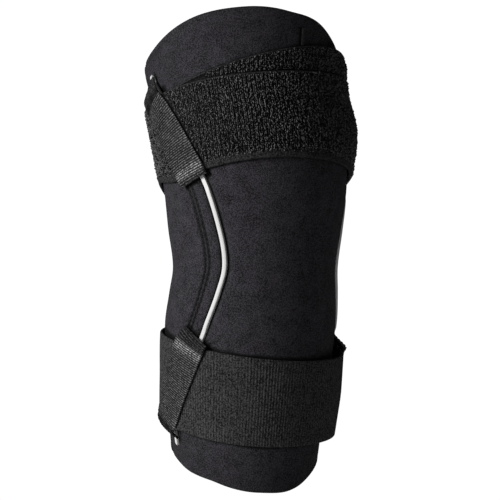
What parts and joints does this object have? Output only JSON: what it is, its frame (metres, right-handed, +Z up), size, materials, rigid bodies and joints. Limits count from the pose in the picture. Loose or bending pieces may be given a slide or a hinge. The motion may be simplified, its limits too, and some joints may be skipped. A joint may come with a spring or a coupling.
{
  "type": "elbow support",
  "caption": "Neoprene elbow support in its worn form, with white piped side seams, a loop-pile upper band, a ribbed elastic lower band and slanting webbing straps.",
  "frame": {"origin": "the middle of the hollow at the elbow, where the arm's axis bends, in the row's frame as worn", "axes": "+Z up along the arm towards the shoulder, -Y towards the outer side of the elbow (the smooth front panel), +X to the right seen from there"},
  "size_m": [0.1211, 0.1118, 0.261],
  "materials": {
    "neoprene": "black jersey-faced neoprene, matte",
    "loop_band": "black loop pile in fine upright ribs",
    "elastic": "black woven elastic with fine upright ribs",
    "webbing": "dark grey woven webbing with fine cross ribs, slightly glossy",
    "piping": "white reflective piping, smooth",
    "label": "folded satin tape"
  },
  "bodies": {
    "root": {"front_panel": "neoprene", "back_panel": "neoprene", "piping_left": "piping", "piping_right": "piping", "under_band": "loop_band", "upper_band": "loop_band", "lower_band": "elastic", "upper_strap_left": "webbing", "upper_strap_right": "webbing", "lower_strap_left": "webbing", "lower_strap_right": "webbing", "folded_label": "label"}
  },
  "joints": []
}
